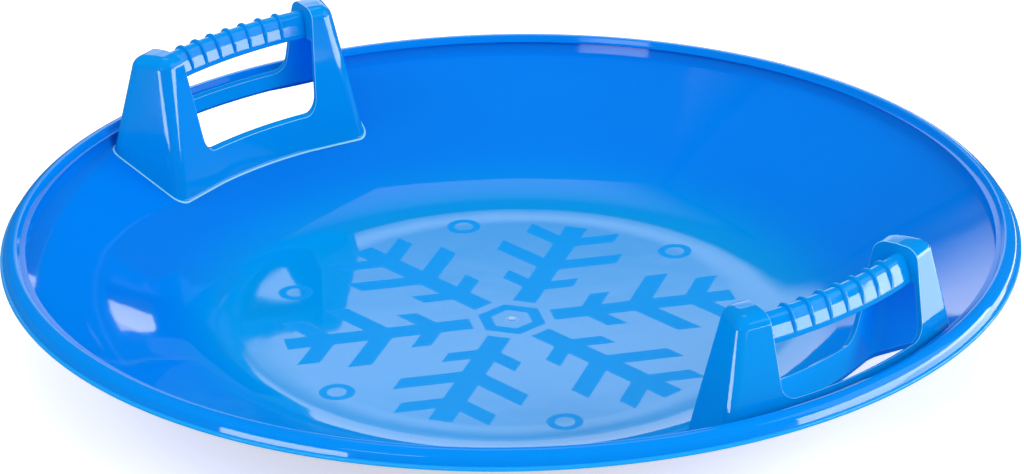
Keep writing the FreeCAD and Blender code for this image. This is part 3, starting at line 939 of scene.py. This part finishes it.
def moulded(name, blue, gloss, waviness):
    """Glossy moulded plastic: faint flow in the colour, slight waves and fine handling marks."""
    nodes = Nodes(bpy.data.materials.new(name))
    flow = nodes.between(nodes.noise(scale=9, detail=3), 0.35, 0.65)
    colour = nodes.blend(flow, blue, [FLOW_SHADE * value for value in blue[:3]] + [1])
    worn = nodes.noise(scale=260, detail=4, roughness=0.7)
    marks = nodes.between(worn, 0.4, 0.75, gloss, gloss * WORN_GLOSS)
    swell = nodes.times(nodes.noise(scale=38, detail=1), SWELL_SHARE)
    grain = nodes.times(nodes.noise(scale=420, detail=2), GRAIN_SHARE)
    nodes.bump(nodes.math("ADD", swell, grain), waviness)
    nodes.shade({"IOR": PLASTIC_IOR, "Base Color": colour, "Roughness": marks})
    return nodes, colour, marks


FLOW_SHADE = 0.95
WORN_GLOSS = 1.5
SWELL_SHARE = 0.8
GRAIN_SHARE = 0.05
PLASTIC_IOR = 1.5


def handle_plastic(finish):
    return moulded("handle_plastic", finish.handle_blue, finish.gloss, waviness=0.05 * MM)[0].owner


def edge_painted_highlight(finish):
    """The thin edges of the frames: a painted highlight, paler to stand in for light that passes through
    them.
    """
    return moulded("handle_edge", finish.edge_highlight_blue, finish.gloss, waviness=0.02 * MM)[0].owner


def grip_plastic(finish):
    return moulded("grip_plastic", finish.grip_blue, finish.gloss, waviness=0.03 * MM)[0].owner


def hollow_painted_glow(finish):
    """The inside of the frames: a painted glow of emission, standing in for light that comes through the
    walls, dimmer in the posts as painted shade.
    """
    nodes, _, _ = moulded("handle_inside", finish.handle_blue, finish.gloss, waviness=0.05 * MM)
    x, y, _ = nodes.split()
    swing = nodes.math("ARCTAN2", nodes.math("ABSOLUTE", y), nodes.math("ABSOLUTE", x))
    depth = nodes.between(swing, *POST_SWING, smooth=True)
    nodes.shade({"Emission Color": nodes.blend(depth, finish.painted_glow, finish.painted_post_glow),
                 "Emission Strength": PAINTED_GLOW_STRENGTH})
    return nodes.owner


PAINTED_GLOW_STRENGTH = 0.22
POST_SWING = (math.radians(9.5), math.radians(14))    # where the posts' hollow starts


def dish_plastic(finish):
    """Glossy plastic with a matt design etched on the seat, a whitened gate mark and a lip painted paler to
    stand in for light that passes through it.
    """
    nodes, colour, marks = moulded("dish_plastic", finish.dish_blue, finish.gloss, waviness=0.08 * MM)
    x, y, z = nodes.split()
    radius = nodes.reach(x, y)
    bend = nodes.math("MAXIMUM", nodes.minus(radius, BEND_START), 0)
    rise = nodes.times(nodes.times(bend, bend), BEND_RISE)
    upper = nodes.between(nodes.minus(z, rise), *UPPER_SIDE)
    design = nodes.times(seat_design(nodes, x, y, radius), upper)
    seat = nodes.times(nodes.between(radius, *SEAT_EDGE, 1, 0, smooth=True), upper)
    colour = nodes.blend(seat, colour, finish.seat_blue)
    colour = nodes.blend(nodes.between(radius, *RIM_EDGE, smooth=True), colour, finish.rim_blue)
    # Painted light: the lip is paler to stand in for light passing through it.
    colour = nodes.blend(nodes.between(radius, *LIP_EDGE, smooth=True), colour, finish.lip_painted_light_blue)
    colour = nodes.blend(design, colour, finish.motif)
    pale = nodes.between(radius, *GATE_EDGE, GATE_PALENESS, 0, smooth=True)
    colour = nodes.blend(nodes.times(pale, upper), colour, finish.stress)
    nodes.shade({"Base Color": colour, "Roughness": nodes.between(design, 0, 1, marks, finish.matt),
                 "Specular IOR Level": nodes.between(design, 0, 1, *SHINE)})
    return nodes.owner


BEND_START = 0.148              # radius where the seat starts to bend
BEND_RISE = 5                   # how fast it rises: 1 / (2 x the bend's round)
UPPER_SIDE = (1 * MM, 2 * MM)   # heights above the underside that part it from the upper side
SEAT_EDGE = (0.155, 0.215)      # radii over which one tint passes into the next
RIM_EDGE = (0.28, 0.286)
LIP_EDGE = (0.293, 0.2938)
GATE_EDGE = (1.5 * MM, 4.5 * MM)
GATE_PALENESS = 0.7
SHINE = (0.5, 0.04)             # of plain plastic and of the etched design

# The seat's design: arms with barbs, a heart in the middle and a ring between the arms
ARMS = 6
ARM_HALF = 7 * MM
ARM_START, ARM_END = (0.024, 0.025), (0.134, 0.135)
BARBS = ((0.046, 6 * MM, 0.022), (0.076, 7 * MM, 0.038), (0.11, 6.5 * MM, 0.028))    # start, half, reach
BARB_SLOPE = math.tan(math.radians(30))
HEART_RADIUS, HEART_HALF = 14.5 * MM, 3.5 * MM
RING_PLACE, RING_RADIUS, RING_HALF = 0.135, 8 * MM, 2.2 * MM
EDGE = 0.5 * MM


def seat_design(nodes, x, y, radius):
    """A six-armed snow crystal with small rings: how far a point lies in the design."""
    sector = 2 * math.pi / ARMS
    turned_to = nodes.math("ARCTAN2", y, x)
    folded = nodes.math("PINGPONG", nodes.math("ADD", turned_to, math.pi), sector / 2)
    along = nodes.times(radius, nodes.math("COSINE", folded))
    aside = nodes.times(radius, nodes.math("SINE", folded))

    def within(distance, half):
        """1 inside half a line's width, fading over a soft edge."""
        return nodes.between(distance, half - EDGE, half + EDGE, 1, 0, smooth=True)

    def branch(start, half, reach):
        """A barb that leaves the arm at 60 degrees and runs for a reach."""
        lean = nodes.minus(nodes.minus(along, start), nodes.times(aside, BARB_SLOPE))
        return nodes.times(within(nodes.math("ABSOLUTE", lean), half), within(aside, reach))

    span = nodes.times(nodes.between(along, *ARM_START), nodes.between(along, *ARM_END, 1, 0))
    design = nodes.times(within(aside, ARM_HALF), span)
    parts = [branch(*barb) for barb in BARBS]
    heart = nodes.minus(along, HEART_RADIUS)
    parts.append(within(nodes.math("ABSOLUTE", heart), HEART_HALF))
    away = nodes.math("ABSOLUTE", nodes.minus(folded, sector / 2))
    ring = nodes.minus(nodes.reach(nodes.times(away, radius), nodes.minus(radius, RING_PLACE)), RING_RADIUS)
    parts.append(within(nodes.math("ABSOLUTE", ring), RING_HALF))
    for part in parts:
        design = nodes.math("MAXIMUM", design, part)
    return design


# Stage
def floor_material(colour):
    """Pale floor, white to the camera and dim in reflections, where the boards show instead."""
    nodes = Nodes(bpy.data.materials.new("pale_floor"))
    path = nodes.add("ShaderNodeLightPath").outputs
    dim = [FLOOR_MIRRORED * value for value in colour[:3]] + [1]
    nodes.shade({"Base Color": nodes.blend(path["Is Glossy Ray"], colour, dim), "Roughness": 0.9,
                 "Specular IOR Level": 0.1, "Emission Color": WHITE,
                 "Emission Strength": nodes.times(path["Is Camera Ray"], FLOOR_LIFT)})
    return nodes.owner


WHITE, BLACK = (1, 1, 1, 1), (0, 0, 0, 1)
FLOOR_RADIUS = 12
FLOOR_GAP = 0.1 * MM     # keeps the floor clear of the seat's underside
FLOOR_LIFT = 0.55        # what the camera sees beyond the floor's own light
FLOOR_MIRRORED = 0.08    # share of the floor's colour that reflections show
ROOM_MIRRORED = 0.04     # brightness of the room in reflections


def sky(scene, fill):
    """Even fill for the surfaces, a dark room in reflections and white behind the camera's view."""
    scene.world = bpy.data.worlds.new("studio")
    nodes = Nodes(scene.world, "Background")
    path = nodes.add("ShaderNodeLightPath").outputs
    lit = nodes.between(path["Is Glossy Ray"], 0, 1, fill, ROOM_MIRRORED)
    nodes.shade({"Color": WHITE, "Strength": nodes.math("MAXIMUM", lit, path["Is Camera Ray"])})


# Lamps and white boards.  Places are right of the sled, away from the camera and up.
# name, place, way it shines, width and height, brightness, lights the faces, shows in reflections
UPWARDS = (0, 0.001, 1)
LAMPS = (
    ("key", (5.6, -5.6, 4.2), (-0.8, 0.8, -0.6), (3.2, 3.2), 7.5, True, False),
    ("overhead", (0, 0, 4), (0, 0.001, -1), (3, 3), 0.9, True, False),
    ("left_fill", (-3, -1, 2.5), (0.74, 0.25, -0.62), (2, 2), 2.6, True, False),
    ("right_fill", (3, 0.6, 0.8), (-0.95, -0.2, -0.25), (1.5, 1.5), 2.5, True, False),
    ("right_softbox", (4, 0, 2.6), (-0.84, 0, -0.54), (3.4, 3), 0.8, False, True),
    ("right_board", (0.6, 0, 0.003), UPWARDS, (0.36, 0.8), 3.5, False, True),
    ("far_right_board", (1.35, -0.4, 0.003), UPWARDS, (1.1, 1.9), 7, False, True),
    ("right_card", (1.9, -0.1, 0.23), (-1, 0, 0), (2.2, 0.46), 8, False, True),
    ("front_left_board", (-0.6, -0.85, 0.003), UPWARDS, (0.9, 0.4), 8, False, True),
    ("front_left_card", (-1.2, -1.2, 0.07), (0.7, 0.7, 0), (0.8, 0.14), 8, False, True),
    ("front_card", (-1.69, -3.18, 1.94), (0.42, 0.78, -0.47), (1.14, 0.35), 3, False, True),
)


def mirrored_board(turn_to, name, low, high, light):
    """A board that only reflections show, of one brightness or of one that follows the place on it."""
    nodes = Nodes(bpy.data.materials.new(name))
    strength = light(nodes, *nodes.split()) if callable(light) else light
    nodes.shade({"Base Color": BLACK, "Specular IOR Level": 0, "Emission Color": WHITE,
                 "Emission Strength": strength})
    board = as_object(name, block(low, high))
    board.matrix_world = turn_to.to_4x4()
    board.data.materials.append(nodes.owner)
    board.visible_camera = False
    board.visible_diffuse = False
    board.visible_shadow = False


def back_light(nodes, x, y, z):
    """Fades to the left and to the top, with a darker stripe below its upper part."""
    lower = nodes.between(z, STRIPE_LOW, STRIPE_MIDDLE, 1, STRIPE_LEVEL, smooth=True)
    upper = nodes.between(z, STRIPE_MIDDLE, STRIPE_HIGH, STRIPE_LEVEL, 1, smooth=True)
    level = nodes.times(nodes.math("MAXIMUM", lower, upper), nodes.between(z, *BACK_FADE, 1, 0))
    return nodes.times(level, nodes.between(x, *BACK_LEFT, *BACK_LEVELS, smooth=True))


def top_light(nodes, x, y, z):
    """Brightest at its near edge, and fades to the back and to the left."""
    depth = nodes.between(y, *TOP_DEPTH, *TOP_LEVELS)
    return nodes.times(depth, nodes.between(x, *TOP_LEFT, 0, 1, smooth=True))


STRIPE_LOW, STRIPE_MIDDLE, STRIPE_HIGH, STRIPE_LEVEL = 1.95, 2.2, 2.52, 0.35
BACK_FADE = (2.58, 2.95)
BACK_LEFT, BACK_LEVELS = (-1.7, -0.6), (0.05, 1.6)
TOP_DEPTH, TOP_LEVELS = (1.4, 3.8), (1.1, 0.05)
TOP_LEFT = (-1.05, -0.3)
# name, lowest and highest corner, brightness
BOARDS = (
    ("back_board", (-2, 5, 0.2), (0.75, 5.02, 2.95), back_light),
    ("low_back_board", (0.75, 5, 0.2), (1.7, 5.02, 1.28), 2.3),
    ("side_back_board", (0.75, 5, 2.1), (1.06, 5.02, 2.6), 1.2),
    ("top_board", (-1.05, 1.45, 3.45), (0.85, 3.9, 3.47), top_light),
)


def lamp(turn_to, name, place, shines, size, brightness, lights, shows):
    """A soft rectangular lamp or board whose face has a plain brightness."""
    light = bpy.data.lights.new(name, "AREA")
    light.shape = "RECTANGLE"
    light.size, light.size_y = size
    light.energy = brightness * math.pi * size[0] * size[1]
    holder = bpy.data.objects.new(name, light)
    facing = turn_to @ Vector(shines).to_track_quat("-Z", "Y").to_matrix()
    holder.matrix_world = Matrix.Translation(turn_to @ Vector(place)) @ facing.to_4x4()
    holder.visible_camera = False
    holder.visible_diffuse = lights
    holder.visible_glossy = shows
    bpy.context.scene.collection.objects.link(holder)


class SLED_OT_stage(bpy.types.Operator):
    """Set the floor, the light and the camera"""
    bl_idname = "sled.set_stage"
    bl_label = "Set Stage"

    def execute(self, context):
        scene, studio = context.scene, context.scene.sled.studio
        shape = bmesh.new()
        bmesh.ops.create_circle(shape, cap_ends=True, segments=64, radius=FLOOR_RADIUS,
                                matrix=Matrix.Translation((0, 0, -FLOOR_GAP)))
        floor = as_object("floor", shape)
        floor.data.materials.append(floor_material(studio.floor))
        sky(scene, studio.sky_fill)
        turn_to = Matrix.Rotation(studio.azimuth, 3, "Z")
        for values in BOARDS:
            mirrored_board(turn_to, *values)
        for values in LAMPS:
            lamp(turn_to, *values)

        tilt = Matrix.Rotation(math.pi / 2 - studio.elevation, 3, "X")
        aim = (Matrix.Rotation(-studio.yaw, 3, "Y") @ Matrix.Rotation(-studio.pitch, 3, "X")
               @ Matrix.Rotation(-studio.roll, 3, "Z"))
        back = turn_to @ tilt @ Vector((0, 0, 1))
        camera = bpy.data.objects.new("camera", bpy.data.cameras.new("camera"))
        camera.data.lens = studio.lens
        camera.data.sensor_width = SENSOR
        camera.matrix_world = Matrix.Translation(back * studio.distance) @ (turn_to @ tilt @ aim).to_4x4()
        scene.collection.objects.link(camera)
        scene.camera = camera
        scene.view_settings.view_transform = "Standard"
        return {"FINISHED"}


class SLED_PT_panel(bpy.types.Panel):
    """Sizes, finishes and steps of the sled"""
    bl_label = "Saucer Sled"
    bl_space_type = "VIEW_3D"
    bl_region_type = "UI"
    bl_category = "Sled"

    def draw(self, context):
        settings = context.scene.sled
        for operator in (SLED_OT_dish, SLED_OT_handles, SLED_OT_grips, SLED_OT_stage):
            self.layout.operator(operator.bl_idname)
        for group in (settings.dish, settings.handle, settings.grip, settings.finish, settings.studio):
            box = self.layout.box()
            box.label(text=group.bl_rna.description)
            for key in group.__annotations__:
                box.prop(group, key)


CLASSES = (DishSizes, HandleSizes, GripSizes, Finish, Studio, SledSettings,
           SLED_OT_dish, SLED_OT_handles, SLED_OT_grips, SLED_OT_stage, SLED_PT_panel)


def register():
    for cls in CLASSES:
        bpy.utils.register_class(cls)
    bpy.types.Scene.sled = PointerProperty(type=SledSettings)


def unregister():
    del bpy.types.Scene.sled
    for cls in reversed(CLASSES):
        bpy.utils.unregister_class(cls)


def main():
    register()
    bpy.ops.sled.make_dish()
    bpy.ops.sled.make_handles()
    bpy.ops.sled.make_grips()
    bpy.ops.sled.set_stage()


if __name__ == "__main__":
    main()
